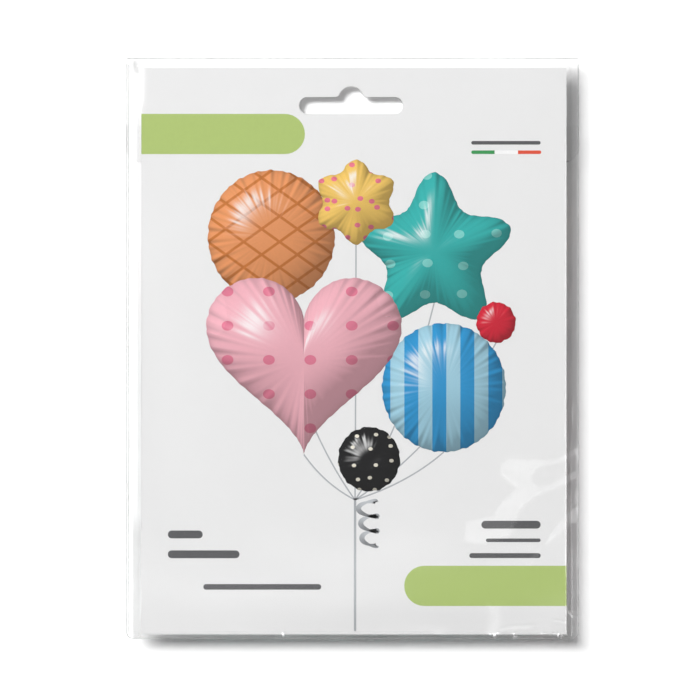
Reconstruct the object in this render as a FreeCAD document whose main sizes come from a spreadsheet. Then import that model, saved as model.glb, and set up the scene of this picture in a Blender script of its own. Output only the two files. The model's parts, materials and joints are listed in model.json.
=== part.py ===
"""Retail packet of a folded foil balloon.

A clear film bag holds a board insert card and, behind the card, a foil balloon folded into a flat
pack. One euro slot is punched through the film, the card and the seal flap, and the packet hangs
from it. The flap turns on the fold along the top of the bag and sticks to the back of the bag.

The packet hangs upright: +X is to the right as seen from the front, the front faces -Y and +Z is up.
The origin is where a display peg bears, at the top of the slot's bump, in the middle of the card.
All sizes are in millimetres.
"""
import FreeCAD
import Part
import Sketcher
import math
import os
import re
from FreeCAD import Vector

# name, size in millimetres or a plain count, what it is
SIZES = (
    ("card_width", 130.6, "insert card, side to side"),
    ("card_height", 174.0, "insert card, top to bottom"),
    ("card_thickness", 0.5, "coated board"),
    ("card_shift", 0.85, "middle of the card, to the right of the middle of the slot"),
    ("slot_drop", 5.7, "top of the card down to the top of the slot's bump"),
    ("slot_width", 32.0, "euro slot, end to end"),
    ("slot_height", 5.2, "straight part of the euro slot"),
    ("slot_overall", 8.45, "bottom of the slot to the top of its bump"),
    ("bump_radius", 4.0, "round bump that centres the peg"),
    ("bump_fillet", 1.2, "rounding where the bump meets the straight part"),
    ("film_thickness", 0.1, "wall of the clear bag"),
    ("film_slack", 0.05, "room between the film and what it wraps"),
    ("film_slope", 0.7, "run of the front film from the card down to the rim"),
    ("film_corner", 2.0, "rounded lower corners of the bag"),
    ("margin_left", 4.5, "film past the left edge of the card"),
    ("margin_right", 3.7, "film past the right edge of the card"),
    ("margin_top", 3.2, "film past the top of the card"),
    ("margin_bottom", 1.4, "film past the bottom of the card"),
    ("seal_lines", 3, "count of ridges in each side weld"),
    ("seal_pitch", 0.6, "ridge to ridge"),
    ("seal_width", 0.25, "one ridge"),
    ("seal_rise", 0.05, "ridge above the film"),
    ("seal_inset", 0.5, "outermost ridge from the edge of the bag"),
    ("mouth_drop", 3.5, "bottom of the slot down to the mouth edge of the back film"),
    ("flap_length", 32.0, "top fold of the bag down to the end of the flap"),
    ("flap_corner", 4.0, "rounded lower corners of the flap"),
    ("flap_gap", 0.3, "level of the fold's axis down to the rigid part of the flap"),
    ("glue_height", 5.0, "sealing strip, up and down"),
    ("glue_thickness", 0.1, "sealing strip"),
    ("glue_rise", 3.0, "end of the flap up to the sealing strip"),
    ("glue_end_room", 5.0, "side of the flap in to the end of the sealing strip"),
    ("pack_side_room", 6.3, "side of the card in to the folded balloon"),
    ("pack_top_room", 8.0, "end of the flap down to the folded balloon"),
    ("pack_bottom_room", 5.0, "bottom of the card up to the folded balloon"),
    ("leaf_count", 5, "leaves of the fold, an odd count"),
    ("leaf_thickness", 0.5, "one leaf: about a dozen plies of foil"),
    ("leaf_gap", 0.1, "air between two leaves"),
    ("leaf_stagger", 0.7, "how much shorter each next fold is"),
    ("leaf_end_drop", 14.0, "top of the pack down to the free end of the last leaf"),
    ("pocket_room", 0.4, "round the folded balloon, inside the back film"),
    ("pocket_slope", 4.0, "run of the back film from its panel to the rim, top and sides"),
    ("pocket_slope_low", 2.6, "the same at the bottom"),
    ("pocket_corner", 5.0, "rounding of the pocket's corners"),
    ("tail_width", 24.0, "inflation neck of the balloon"),
    ("tail_root_width", 38.0, "the neck where it widens into the balloon"),
    ("tail_length", 52.0, "root to tip"),
    ("tail_root_length", 10.0, "the part that widens"),
    ("tail_thickness", 0.2, "two plies of foil and the valve between them"),
    ("tail_corner", 5.0, "rounded tip"),
    ("tail_rise", 18.0, "bottom of the pack up to the tip of the neck"),
    ("valve_width", 9.0, "inflation opening, end to end"),
    ("valve_height", 3.0, "inflation opening, up and down"),
    ("valve_rise", 9.0, "tip of the neck up to the middle of the inflation opening"),
)

# Planes and edges that follow from the sizes. y runs from the front to the back.
PLACES = {
    "card_left": "card_shift - card_width / 2",
    "card_right": "card_shift + card_width / 2",
    "card_high": "slot_drop",
    "card_low": "slot_drop - card_height",
    "card_back": "card_thickness / 2",
    "film_left": "card_left - margin_left",
    "film_right": "card_right + margin_right",
    "film_high": "card_high + margin_top",
    "film_low": "card_low - margin_bottom",
    "weld_plane": "card_back + film_slack",
    "front_crown": "0 - card_thickness / 2 - film_slack - film_thickness",
    "mouth": "0 - slot_overall - mouth_drop",
    "flap_front": "weld_plane + film_thickness + film_slack + glue_thickness",
    "flap_back": "flap_front + film_thickness",
    "fold_radius": "(flap_back - weld_plane + film_thickness) / 2",
    "fold_y": "flap_back - fold_radius",
    "fold_z": "film_high - fold_radius",
    "flap_low": "film_high - flap_length",
    "pack_left": "card_left + pack_side_room",
    "pack_right": "card_right - pack_side_room",
    "pack_high": "flap_low - pack_top_room",
    "pack_low": "card_low + pack_bottom_room",
    "leaf_pitch": "leaf_thickness + leaf_gap",
    "pack_back": "weld_plane + leaf_count * leaf_pitch - leaf_gap",
    "turn_radius": "leaf_thickness + leaf_gap / 2",
    "tail_front": "pack_back + film_slack",
    "tail_back": "tail_front + tail_thickness",
    "pocket_crown": "tail_back + 2 * film_slack + film_thickness",
    "tail_low": "pack_low + tail_rise",
    "tail_x": "card_shift",
}

doc = FreeCAD.newDocument("balloon_packet")
sheet = doc.addObject("Spreadsheet::Sheet", "Sizes")
for row, (name, size, meaning) in enumerate(SIZES, start=1):
    sheet.set(f"A{row}", name)
    sheet.set(f"B{row}", str(size))
    sheet.setAlias(f"B{row}", name)
    sheet.set(f"C{row}", meaning)
doc.recompute()


def bound(text):
    """Turn words of SIZES and PLACES into an expression on the sheet's cells."""
    def cell(match):
        word = match.group(0)
        if word in PLACES:
            return "(" + bound(PLACES[word]) + ")"
        return "Sizes." + word
    return re.sub(r"[a-z]\w+", cell, text)


def number(text):
    """Value of an expression in words, in millimetres."""
    return float(sheet.evalExpression(bound(text)))


# ---------------------------------------------------------------- sketch tools

def new_body(label):
    body = doc.addObject("PartDesign::Body", label)
    body.Label = label
    return body


def new_sketch(body, name, role, offset):
    """Sketch on one of the body's own origin planes, moved along the plane's normal.

    XZ_Plane: sketch x is +X, sketch y is +Z and the normal is -Y.
    YZ_Plane: sketch x is +Y, sketch y is +Z and the normal is +X.
    """
    sketch = body.newObject("Sketcher::SketchObject", name)
    plane = [item for item in body.Origin.OriginFeatures if item.Role == role][0]
    sketch.AttachmentSupport = [(plane, "")]
    sketch.MapMode = "FlatFace"
    sketch.setExpression(".AttachmentOffset.Base.z", bound(offset))
    return sketch


def bind(sketch, kind, geometry, text):
    """Dimension whose value is an expression; geometry is what Sketcher.Constraint takes."""
    index = sketch.addConstraint(Sketcher.Constraint(kind, *geometry, number(text)))
    name = f"size_{index}"
    sketch.renameConstraint(index, name)
    sketch.setExpression(f"Constraints.{name}", bound(text))


def bind_point(sketch, geometry, end, across, up):
    """Place one end of a piece of geometry by its two signed distances from the origin."""
    bind(sketch, "DistanceX", (-1, 1, geometry, end), across)
    bind(sketch, "DistanceY", (-1, 1, geometry, end), up)


def polygon(sketch, corners):
    """Closed outline of straight edges through corners given as pairs of expressions."""
    first = sketch.GeometryCount
    points = [Vector(number(across), number(up), 0) for across, up in corners]
    count = len(points)
    for index in range(count):
        sketch.addGeometry(Part.LineSegment(points[index], points[(index + 1) % count]), False)
    for index in range(count):
        following = first + (index + 1) % count
        sketch.addConstraint(Sketcher.Constraint("Coincident", first + index, 2, following, 1))
    for index, (across, up) in enumerate(corners):
        bind_point(sketch, first + index, 1, across, up)


def rectangle(sketch, left, right, low, high):
    polygon(sketch, ((left, low), (right, low), (right, high), (left, high)))


def rounded_rectangle(sketch, left, right, low, high, radius):
    """Four edges and four tangent quarter arcs of one radius."""
    x0, x1, z0, z1, r = (number(text) for text in (left, right, low, high, radius))
    quarter = math.pi / 2
    edges = (((x0 + r, z0), (x1 - r, z0)), ((x1, z0 + r), (x1, z1 - r)),
             ((x1 - r, z1), (x0 + r, z1)), ((x0, z1 - r), (x0, z0 + r)))
    centres = ((x1 - r, z0 + r), (x1 - r, z1 - r), (x0 + r, z1 - r), (x0 + r, z0 + r))
    for start, end in edges:
        sketch.addGeometry(Part.LineSegment(Vector(*start, 0), Vector(*end, 0)), False)
    for index, centre in enumerate(centres):
        circle = Part.Circle(Vector(*centre, 0), Vector(0, 0, 1), r)
        turn = (index - 1) * quarter
        sketch.addGeometry(Part.ArcOfCircle(circle, turn, turn + quarter), False)
    for index in range(4):
        following = (index + 1) % 4
        sketch.addConstraint(Sketcher.Constraint("Tangent", index, 2, 4 + index, 1))
        sketch.addConstraint(Sketcher.Constraint("Tangent", 4 + index, 2, following, 1))
    for index in (5, 6, 7):
        sketch.addConstraint(Sketcher.Constraint("Equal", 4, index))
    sketch.addConstraint(Sketcher.Constraint("Horizontal", 0))
    sketch.addConstraint(Sketcher.Constraint("Vertical", 1))
    sketch.addConstraint(Sketcher.Constraint("Horizontal", 2))
    sketch.addConstraint(Sketcher.Constraint("Vertical", 3))
    bind(sketch, "Radius", (4,), radius)
    bind(sketch, "DistanceY", (-1, 1, 0, 1), low)
    bind(sketch, "DistanceX", (-1, 1, 1, 1), right)
    bind(sketch, "DistanceY", (-1, 1, 2, 1), high)
    bind(sketch, "DistanceX", (-1, 1, 3, 1), left)


def euro_slot(sketch):
    """Straight slot with full round ends and a round bump on top, rounded where they meet."""
    end = number("slot_height / 2")
    reach = number("slot_width / 2 - slot_height / 2")
    low = number("0 - slot_overall")
    high = number("slot_height - slot_overall")
    bump = number("bump_radius")
    fillet = number("bump_fillet")
    rise = high + fillet + bump
    foot = math.sqrt((bump + fillet) ** 2 - rise ** 2)
    lean = math.atan2(rise, foot)
    right = math.pi / 2

    def line(x0, z0, x1, z1):
        sketch.addGeometry(Part.LineSegment(Vector(x0, z0, 0), Vector(x1, z1, 0)), False)

    def arc(x, z, radius, start, stop):
        circle = Part.Circle(Vector(x, z, 0), Vector(0, 0, 1), radius)
        sketch.addGeometry(Part.ArcOfCircle(circle, start, stop), False)

    line(-reach, low, reach, low)
    arc(reach, high - end, end, -right, right)
    line(reach, high, foot, high)
    arc(foot, high + fillet, fillet, 2 * right + lean, 3 * right)
    arc(0, -bump, bump, lean, 2 * right - lean)
    arc(-foot, high + fillet, fillet, 3 * right, 4 * right - lean)
    line(-foot, high, -reach, high)
    arc(-reach, high - end, end, right, 3 * right)
    joins = ((0, 2, 1, 1), (1, 2, 2, 1), (2, 2, 3, 2), (3, 1, 4, 1),
             (4, 2, 5, 2), (5, 1, 6, 1), (6, 2, 7, 1), (7, 2, 0, 1))
    for join in joins:
        sketch.addConstraint(Sketcher.Constraint("Tangent", *join))
    sketch.addConstraint(Sketcher.Constraint("Horizontal", 2))
    sketch.addConstraint(Sketcher.Constraint("Equal", 3, 5))
    sketch.addConstraint(Sketcher.Constraint("Symmetric", 0, 1, 0, 2, -2))
    sketch.addConstraint(Sketcher.Constraint("PointOnObject", 4, 3, -2))
    bind_point(sketch, 0, 2, "slot_width / 2 - slot_height / 2", "0 - slot_overall")
    bind(sketch, "DistanceY", (-1, 1, 2, 1), "slot_height - slot_overall")
    bind(sketch, "DistanceY", (-1, 1, 4, 3), "0 - bump_radius")
    bind(sketch, "Radius", (4,), "bump_radius")
    bind(sketch, "Radius", (3,), "bump_fillet")


# ---------------------------------------------------------------- feature tools

def pad(body, name, sketch, length):
    """Pad along the sketch's normal: towards -Y from XZ_Plane, towards +X from YZ_Plane."""
    feature = body.newObject("PartDesign::Pad", name)
    feature.Profile = sketch
    feature.setExpression("Length", bound(length))
    return feature


def pocket(body, name, sketch, length):
    """Pocket along the sketch's normal, which has to take material away."""
    doc.recompute()
    before = body.Shape.Volume
    feature = body.newObject("PartDesign::Pocket", name)
    feature.Profile = sketch
    feature.Reversed = True
    feature.setExpression("Length", bound(length))
    doc.recompute()
    if feature.Shape.Volume >= before:
        raise RuntimeError(f"{name} cuts nothing")
    return feature


def loft(body, name, kind, foot, crown):
    """Straight loft between two sketches; kind is AdditiveLoft or SubtractiveLoft."""
    feature = body.newObject("PartDesign::" + kind, name)
    feature.Profile = foot
    feature.Sections = [crown]
    feature.Ruled = True
    return feature


def punch_slot(body, back, depth):
    """Euro slot through a sheet whose back face lies at y = back."""
    sketch = new_sketch(body, "slot_outline", "XZ_Plane", f"0 - ({back})")
    euro_slot(sketch)
    pocket(body, "slot", sketch, depth)


def dish(body, foot, crown, foot_y, crown_y, shift, corner):
    """Raise a tray of even wall in a flat film: add a frustum, take away the same one shifted."""
    for kind, move in (("AdditiveLoft", "0"), ("SubtractiveLoft", shift)):
        prefix = "raised" if kind == "AdditiveLoft" else "hollow"
        sections = []
        for place, edges, level in (("foot", foot, foot_y), ("crown", crown, crown_y)):
            name = f"{prefix}_{place}"
            sketch = new_sketch(body, name, "XZ_Plane", f"0 - ({level}) - ({move})")
            if corner:
                rounded_rectangle(sketch, *edges, corner)
            else:
                rectangle(sketch, *edges)
            sections.append(sketch)
        loft(body, prefix, kind, *sections)


# ---------------------------------------------------------------- pieces

def insert_card():
    """Coated board with square corners and the euro slot."""
    body = new_body("insert_card")
    outline = new_sketch(body, "card_outline", "XZ_Plane", "0 - card_back")
    rectangle(outline, "card_left", "card_right", "card_low", "card_high")
    pad(body, "board", outline, "card_thickness")
    punch_slot(body, "card_back", "card_thickness")
    return body


def front_film():
    """Front of the bag: a shallow tray over the card, a flat rim, side welds and the top fold."""
    body = new_body("front_film")
    outline = new_sketch(body, "rim_outline", "XZ_Plane", "0 - weld_plane")
    rounded_rectangle(outline, "film_left", "film_right", "film_low", "fold_z", "film_corner")
    pad(body, "rim", outline, "film_thickness")
    foot = ("card_left - film_slack - film_slope", "card_right + film_slack + film_slope",
            "card_low - film_slack - film_slope", "card_high + film_slack + film_slope")
    crown = ("card_left - film_slack", "card_right + film_slack",
             "card_low - film_slack", "card_high + film_slack")
    dish(body, foot, crown, "weld_plane - film_thickness", "front_crown", "film_thickness", None)
    corner_filler = new_sketch(body, "top_corners", "XZ_Plane", "0 - weld_plane")
    rectangle(corner_filler, "film_left", "film_right", "fold_z - film_corner", "fold_z")
    pad(body, "top_edge", corner_filler, "film_thickness")
    punch_slot(body, "card_back", "card_back - front_crown + film_slack")
    edges = (("left", "film_left + seal_inset", 1), ("right", "film_right - seal_inset", -1))
    for side, start, step in edges:
        ridges = new_sketch(body, f"{side}_seal_lines", "XZ_Plane", "0 - weld_plane + film_thickness")
        for index in range(int(number("seal_lines"))):
            near = f"{start} + {step * index} * seal_pitch"
            far = f"{near} + {step} * seal_width"
            edges = (near, far) if step > 0 else (far, near)
            rectangle(ridges, *edges, "film_low + film_corner", "mouth")
        pad(body, f"{side}_weld", ridges, "seal_rise")
    fold = new_sketch(body, "fold_section", "YZ_Plane", "film_left")
    half_ring(fold)
    pad(body, "top_fold", fold, "film_right - film_left")
    return body


def half_ring(sketch):
    """Film turned over by half a turn about the fold's axis."""
    y, z = number("fold_y"), number("fold_z")
    outer, inner = number("fold_radius"), number("fold_radius - film_thickness")
    for radius in (outer, inner):
        circle = Part.Circle(Vector(y, z, 0), Vector(0, 0, 1), radius)
        sketch.addGeometry(Part.ArcOfCircle(circle, 0, math.pi), False)
    sketch.addGeometry(Part.LineSegment(Vector(y + outer, z, 0), Vector(y + inner, z, 0)), False)
    sketch.addGeometry(Part.LineSegment(Vector(y - outer, z, 0), Vector(y - inner, z, 0)), False)
    for join in ((0, 1, 2, 1), (1, 1, 2, 2), (0, 2, 3, 1), (1, 2, 3, 2)):
        sketch.addConstraint(Sketcher.Constraint("Coincident", *join))
    sketch.addConstraint(Sketcher.Constraint("Coincident", 0, 3, 1, 3))
    sketch.addConstraint(Sketcher.Constraint("Horizontal", 2))
    sketch.addConstraint(Sketcher.Constraint("Horizontal", 3))
    sketch.addConstraint(Sketcher.Constraint("PointOnObject", 0, 3, 2))
    bind_point(sketch, 0, 3, "fold_y", "fold_z")
    bind(sketch, "Radius", (0,), "fold_radius")
    bind(sketch, "Radius", (1,), "fold_radius - film_thickness")


def back_film():
    """Back of the bag: a flat sheet up to the mouth, pressed out over the folded balloon."""
    body = new_body("back_film")
    outline = new_sketch(body, "rim_outline", "XZ_Plane", "0 - weld_plane - film_thickness")
    rounded_rectangle(outline, "film_left", "film_right", "film_low", "mouth", "film_corner")
    pad(body, "rim", outline, "film_thickness")
    crown = ("pack_left - pocket_room", "pack_right + pocket_room",
             "pack_low - pocket_room", "pack_high + pocket_room")
    foot = (crown[0] + " - pocket_slope", crown[1] + " + pocket_slope",
            crown[2] + " - pocket_slope_low", crown[3] + " + pocket_slope")
    dish(body, foot, crown, "weld_plane + film_thickness", "pocket_crown", "0 - film_thickness",
         "pocket_corner")
    return body


def folded_balloon():
    """Foil balloon folded to and fro into leaves: one leaf's section carried along the fold."""
    body = new_body("folded_balloon")
    section = new_sketch(body, "leaf_section", "XY_Plane", "pack_low")
    rectangle(section, "pack_left", "pack_right", "weld_plane", "weld_plane + leaf_thickness")
    path = new_sketch(body, "fold_path", "YZ_Plane", "0")
    count = int(number("leaf_count"))
    half = number("leaf_pitch / 2")
    levels = ["pack_low"]
    for turn in range(1, count):
        inset = f"turn_radius + {turn - 1} * leaf_stagger"
        levels.append(f"pack_high - ({inset})" if turn % 2 else f"pack_low + ({inset})")
    levels.append("pack_high - leaf_end_drop")
    for leaf in range(count):
        middle = f"weld_plane + leaf_thickness / 2 + {leaf} * leaf_pitch"
        y = number(middle)
        start, end = number(levels[leaf]), number(levels[leaf + 1])
        line = sketch_line(path, y, start, y, end)
        bind_point(path, line, 1, middle, levels[leaf])
        bind_point(path, line, 2, middle, levels[leaf + 1])
    for turn in range(1, count):
        y = number(f"weld_plane + leaf_thickness / 2 + {turn} * leaf_pitch - leaf_pitch / 2")
        z = number(levels[turn])
        start = 0 if turn % 2 else math.pi
        circle = Part.Circle(Vector(y, z, 0), Vector(0, 0, 1), half)
        arc = path.addGeometry(Part.ArcOfCircle(circle, start, start + math.pi), False)
        first, last = (2, 1) if turn % 2 else (1, 2)
        path.addConstraint(Sketcher.Constraint("Coincident", turn - 1, 2, arc, first))
        path.addConstraint(Sketcher.Constraint("Coincident", turn, 1, arc, last))
        bind(path, "DistanceY", (-1, 1, arc, 3), levels[turn])
    doc.recompute()
    pipe = body.newObject("PartDesign::AdditivePipe", "leaves")
    pipe.Profile = section
    pipe.Spine = path
    return body


def sketch_line(sketch, x0, z0, x1, z1):
    return sketch.addGeometry(Part.LineSegment(Vector(x0, z0, 0), Vector(x1, z1, 0)), False)


def inflation_neck():
    """Flat neck of the balloon, laid down the last leaf, with its opening near the tip."""
    body = new_body("inflation_neck")
    blade = new_sketch(body, "neck_outline", "XZ_Plane", "0 - tail_back")
    rounded_rectangle(blade, "tail_x - tail_width / 2", "tail_x + tail_width / 2",
                      "tail_low", "tail_low + tail_length", "tail_corner")
    pad(body, "neck", blade, "tail_thickness")
    root = new_sketch(body, "root_outline", "XZ_Plane", "0 - tail_back")
    top, shoulder = "tail_low + tail_length", "tail_low + tail_length - tail_root_length"
    polygon(root, (("tail_x - tail_width / 2", shoulder), ("tail_x + tail_width / 2", shoulder),
                   ("tail_x + tail_root_width / 2", top), ("tail_x - tail_root_width / 2", top)))
    pad(body, "root", root, "tail_thickness")
    opening = new_sketch(body, "opening_outline", "XZ_Plane", "0 - tail_back")
    rounded_rectangle(opening, "tail_x - valve_width / 2", "tail_x + valve_width / 2",
                      "tail_low + valve_rise - valve_height / 2",
                      "tail_low + valve_rise + valve_height / 2", "valve_height * 0.45")
    pocket(body, "opening", opening, "tail_thickness / 2")
    return body


def seal_flap():
    """Flap behind the top of the bag, with the slot punched through it too."""
    body = new_body("seal_flap")
    outline = new_sketch(body, "flap_outline", "XZ_Plane", "0 - flap_back")
    rounded_rectangle(outline, "film_left", "film_right", "flap_low", "fold_z - flap_gap",
                      "flap_corner")
    pad(body, "flap", outline, "film_thickness")
    corners = new_sketch(body, "upper_corners", "XZ_Plane", "0 - flap_back")
    rectangle(corners, "film_left", "film_right", "fold_z - flap_gap - flap_corner",
              "fold_z - flap_gap")
    pad(body, "upper_edge", corners, "film_thickness")
    punch_slot(body, "flap_back", "film_thickness")
    return body


def glue_strip():
    """Sealing strip on the inner face of the flap."""
    body = new_body("glue_strip")
    outline = new_sketch(body, "strip_outline", "XZ_Plane", "0 - flap_front")
    rectangle(outline, "film_left + glue_end_room", "film_right - glue_end_room",
              "flap_low + glue_rise", "flap_low + glue_rise + glue_height")
    pad(body, "strip", outline, "glue_thickness")
    return body


PIECES = [make() for make in (front_film, insert_card, folded_balloon, inflation_neck, back_film,
                              seal_flap, glue_strip)]
doc.recompute()

faults = [f"{item.Label} {item.State}" for item in doc.Objects
          if "Invalid" in item.State or "Error" in item.State]
for piece in PIECES:
    shape = piece.Shape
    if shape.isNull() or not shape.isValid() or len(shape.Solids) != 1:
        faults.append(f"{piece.Label} is not one valid solid")
if faults:
    raise RuntimeError("; ".join(faults))

os.makedirs("parts", exist_ok=True)
for piece in PIECES:
    piece.Shape.exportStep(f"parts/{piece.Label}.step")
    box = piece.Shape.BoundBox
    print(f"{piece.Label:16} x {box.XMin:7.2f} {box.XMax:7.2f}  y {box.YMin:6.2f} {box.YMax:6.2f}"
          f"  z {box.ZMin:8.2f} {box.ZMax:7.2f}  {piece.Shape.Volume:9.1f} mm3")
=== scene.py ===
# %% [markdown]
# # A foil balloon in its shop packet
#
# The object is a flat retail packet that hangs from a display peg: a clear film bag, a printed
# insert card, and behind the card a foil balloon folded into a flat pack. A flap behind the top
# of the bag closes it. The frame holds the real sizes; the cells below give each piece its
# surface: creased film, matte board, ink, and crumpled metallised foil.

# %% Load the frame
import json
import math

import bpy
import numpy as np
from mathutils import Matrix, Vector
from mathutils.geometry import delaunay_2d_cdt


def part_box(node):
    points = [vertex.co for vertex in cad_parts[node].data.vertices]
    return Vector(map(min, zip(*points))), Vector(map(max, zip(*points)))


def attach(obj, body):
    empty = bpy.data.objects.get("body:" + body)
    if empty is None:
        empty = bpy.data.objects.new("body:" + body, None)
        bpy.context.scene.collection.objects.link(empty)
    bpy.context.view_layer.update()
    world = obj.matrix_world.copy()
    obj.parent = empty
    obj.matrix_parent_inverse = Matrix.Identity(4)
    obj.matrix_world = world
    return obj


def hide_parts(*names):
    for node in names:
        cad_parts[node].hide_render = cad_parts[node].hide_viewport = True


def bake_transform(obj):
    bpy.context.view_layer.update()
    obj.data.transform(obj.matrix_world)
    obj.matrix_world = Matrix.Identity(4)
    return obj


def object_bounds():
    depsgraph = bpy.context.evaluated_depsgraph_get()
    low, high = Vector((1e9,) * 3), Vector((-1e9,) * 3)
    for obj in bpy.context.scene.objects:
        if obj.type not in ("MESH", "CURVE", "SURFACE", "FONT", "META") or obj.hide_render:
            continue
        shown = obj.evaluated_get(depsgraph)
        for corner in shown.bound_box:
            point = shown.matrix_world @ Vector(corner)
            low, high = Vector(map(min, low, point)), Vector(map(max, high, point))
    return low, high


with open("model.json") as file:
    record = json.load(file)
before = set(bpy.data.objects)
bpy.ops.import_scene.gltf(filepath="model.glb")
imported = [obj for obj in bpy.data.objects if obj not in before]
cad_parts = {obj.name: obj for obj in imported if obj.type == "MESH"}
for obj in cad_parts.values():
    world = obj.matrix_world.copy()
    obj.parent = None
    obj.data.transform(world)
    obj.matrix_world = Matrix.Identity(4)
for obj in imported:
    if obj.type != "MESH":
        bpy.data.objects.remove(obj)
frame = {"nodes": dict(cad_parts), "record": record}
cad_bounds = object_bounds()
MM = 0.001

(card_low, card_high), (film_low, film_high), (back_low, back_high) = (
    np.array(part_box(node)) for node in ("insert_card", "front_film", "back_film"))
(pack_low, pack_high), (flap_low, flap_high), (neck_low, neck_high) = (
    np.array(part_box(node)) for node in ("folded_balloon", "seal_flap", "inflation_neck"))
hinge = frame["record"]["behaviour"]["joints"][0]["pos_m"]
print("packet, mm:", [round(float(b - a) / MM, 1) for a, b in zip(*cad_bounds)])

# %% [markdown]
# ## Helpers
#
# Colours are written as sRGB hex values, the way a printer or a designer gives them, and one
# function turns them into the linear numbers that a shader works with. One small function adds
# a shader node with its settings and its links; the ones after it give the results of the nodes
# that come most often. Meshes come from numpy arrays.

# %% Colour and node helpers


def linear(colour):
    """sRGB hex to linear RGBA: the straight toe below 0.04045, the 2.4 power above it."""
    channels = [int(colour[i:i + 2], 16) / 255 for i in (1, 3, 5)]
    return tuple(c / 12.92 if c <= 0.04045 else ((c + 0.055) / 1.055) ** 2.4
                 for c in channels) + (1.0,)


def new_material(name):
    """An empty node material and its output."""
    material = bpy.data.materials.new(name)
    material.use_nodes = True
    material.node_tree.nodes.clear()
    return material


def add(material, kind, inputs=None, **settings):
    """Add one shader node: settings are its properties, inputs its sockets' values or links."""
    tree = material.node_tree
    node = tree.nodes.new("ShaderNode" + kind)
    for key, value in settings.items():
        setattr(node, key, value)
    for key, value in (inputs or {}).items():
        socket = node.inputs[key]
        if isinstance(value, bpy.types.NodeSocket):
            tree.links.new(value, socket)
        else:
            socket.default_value = value
    return node


# %% Helpers for the commonest nodes


def calc(material, operation, *values, kind="Math", **settings):
    """Result of one Math node, or of a VectorMath one."""
    node = add(material, kind, dict(enumerate(values)), operation=operation, **settings)
    return node.outputs["Value" if operation == "DOT_PRODUCT" else 0]


def ranged(material, value, low, high, start=0.0, stop=1.0):
    """The value carried from start and stop to low and high, and held beyond them."""
    return add(material, "MapRange", {"Value": value, "From Min": start, "From Max": stop,
                                      "To Min": low, "To Max": high}).outputs[0]


# a Mix node has two inputs and a result for each kind of value
MIX_SOCKETS = {"FLOAT": (2, 3, 0), "VECTOR": (4, 5, 1), "RGBA": (6, 7, 2)}


def mix(material, factor, first, second, kind="RGBA"):
    """The first value at factor 0, the second at factor 1."""
    a, b, result = MIX_SOCKETS[kind]
    return add(material, "Mix", {0: factor, a: first, b: second}, data_type=kind).outputs[result]


def object_place(material):
    return add(material, "TexCoord").outputs["Object"]


def noise(material, place, scale, detail=2.0, distortion=0.0):
    """Soft random pattern: scale counts its waves to the metre."""
    return add(material, "TexNoise", {"Vector": place, "Scale": scale, "Detail": detail,
                                      "Distortion": distortion}).outputs["Fac"]


def carried(material, name):
    """A number that the mesh carries for each point."""
    return add(material, "Attribute", attribute_name=name).outputs["Fac"]


def shader(material, kind, inputs):
    """The shader that a node gives."""
    return add(material, kind, inputs).outputs[0]


def finish_material(material, surface):
    add(material, "OutputMaterial", {"Surface": surface})
    return material


# %% Mesh helpers


def mesh_piece(name, points, faces, material, smooth=True):
    """Mesh from an (n, 3) array in metres and a list or array of faces."""
    mesh = bpy.data.meshes.new(name)
    mesh.from_pydata(np.asarray(points, dtype=float).tolist(), [],
                     faces.tolist() if isinstance(faces, np.ndarray) else faces)
    mesh.polygons.foreach_set("use_smooth", [smooth] * len(mesh.polygons))
    mesh.materials.append(material)
    mesh.update()
    piece = bpy.data.objects.new(name, mesh)
    bpy.context.scene.collection.objects.link(piece)
    return piece


def give_attribute(piece, name, values):
    """One number for each point of a mesh, for its material to read."""
    attribute = piece.data.attributes.new(name, "FLOAT", "POINT")
    attribute.data.foreach_set("value", np.asarray(values, dtype=np.float32))


def grid_faces(rows, columns, closed=False):
    """Quads of a rows x columns grid of points, wrapped round its columns if closed."""
    last = columns if closed else columns - 1
    row, column = np.meshgrid(np.arange(rows - 1), np.arange(last), indexing="ij")
    following = (column + 1) % columns
    quads = (row * columns + column, row * columns + following,
             (row + 1) * columns + following, (row + 1) * columns + column)
    return np.stack(quads, axis=-1).reshape(-1, 4)


def packed(*fields):
    """Arrays of one shape, such as x, y and z, as one array of points."""
    return np.stack(np.broadcast_arrays(*fields), axis=-1)


def unit(vectors):
    """Vectors brought to length 1."""
    return vectors / (np.linalg.norm(vectors, axis=-1, keepdims=True) + 1e-12)


def sideways(line):
    """Unit directions across a line (n, 2), to its right."""
    along = unit(np.gradient(line, axis=0))
    return packed(along[:, 1], -along[:, 0])


# %% Random relief


def swell(x, z, wavelength, waves, seed):
    """Soft random relief: the mean of plane waves in random directions, about -1 to 1."""
    chance = np.random.default_rng(seed)
    total = np.zeros_like(x)
    for _ in range(waves):
        angle, phase = chance.uniform(0, 2 * math.pi, 2)
        length = wavelength * chance.uniform(0.7, 1.4)
        total += np.sin((x * math.cos(angle) + z * math.sin(angle)) * 2 * math.pi / length + phase)
    return total / math.sqrt(waves)


def folds(x, z, wavelength, count, seed):
    """Crumple of a stiff sheet: triangle waves in random directions, each bent by a swell."""
    chance = np.random.default_rng(seed)
    total = np.zeros_like(x)
    for index in range(count):
        angle, phase = chance.uniform(0, 2 * math.pi, 2)
        length = wavelength * chance.uniform(0.6, 1.8)
        bend = 0.35 * swell(x, z, 2.5 * length, 3, seed + 10 + index)
        across = (x * math.cos(angle) + z * math.sin(angle)) / length + phase + bend
        total += np.abs((across % 1.0) * 2 - 1) - 0.5
    return total / math.sqrt(count)


def smooth_step(value):
    """0 below 0, 1 above 1, and an S between them."""
    value = np.clip(value, 0.0, 1.0)
    return value * value * (3 - 2 * value)


def ramp(distance, width):
    """The same S, from 0 at no distance to 1 at a width in mm."""
    return smooth_step(distance / (width * MM))


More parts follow.
